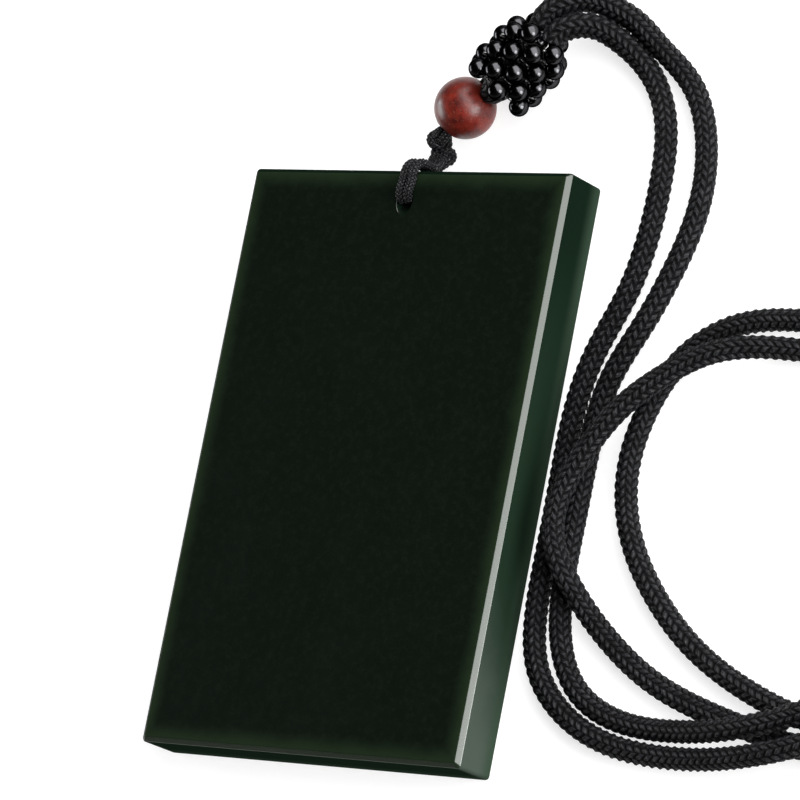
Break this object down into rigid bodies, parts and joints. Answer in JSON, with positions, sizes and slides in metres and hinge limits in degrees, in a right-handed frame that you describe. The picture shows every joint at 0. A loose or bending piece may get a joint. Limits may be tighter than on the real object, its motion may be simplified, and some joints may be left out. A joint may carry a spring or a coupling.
{
  "type": "jade tablet pendant",
  "caption": "Plain rectangular dark green jade tablet hung by a thin doubled cord, a wooden bead and a woven bead cluster from a black braided neck cord lying in loops.",
  "frame": {"origin": "centre of the tablet's flat back face, which lies on the surface", "axes": "+Z out of the tablet's front face, +Y along the tablet towards its stringing hole, +X to the right seen from the front"},
  "size_m": [0.1029, 0.0794, 0.0083],
  "materials": {
    "dark_green_jade": "polished to a soft satin gloss",
    "black_thin_cord": "finely braided",
    "red_sandalwood": "turned and polished",
    "black_bead": "polished",
    "black_binding": "bound thread",
    "black_braided_cord": "round herringbone braid"
  },
  "bodies": {
    "root": {"jade_tablet": "dark_green_jade", "bail_cord": "black_thin_cord", "wooden_bead": "red_sandalwood", "neck_cord_joint": "black_binding", "neck_cord": "black_braided_cord", "small_bead_1_1": "black_bead", "small_bead_1_2": "black_bead", "small_bead_1_3": "black_bead", "small_bead_1_4": "black_bead", "small_bead_1_5": "black_bead", "small_bead_1_6": "black_bead", "small_bead_2_1": "black_bead", "small_bead_2_2": "black_bead", "small_bead_2_3": "black_bead", "small_bead_2_4": "black_bead", "small_bead_2_5": "black_bead", "small_bead_2_6": "black_bead", "small_bead_3_1": "black_bead", "small_bead_3_2": "black_bead", "small_bead_3_3": "black_bead", "small_bead_3_4": "black_bead", "small_bead_3_5": "black_bead", "small_bead_3_6": "black_bead", "small_bead_4_1": "black_bead", "small_bead_4_2": "black_bead", "small_bead_4_3": "black_bead", "small_bead_4_4": "black_bead", "small_bead_4_5": "black_bead", "small_bead_4_6": "black_bead", "small_bead_5_1": "black_bead", "small_bead_5_2": "black_bead", "small_bead_5_3": "black_bead", "small_bead_5_4": "black_bead", "small_bead_5_5": "black_bead", "small_bead_5_6": "black_bead", "small_bead_6_1": "black_bead", "small_bead_6_3": "black_bead", "small_bead_6_4": "black_bead", "small_bead_6_6": "black_bead"}
  },
  "joints": []
}
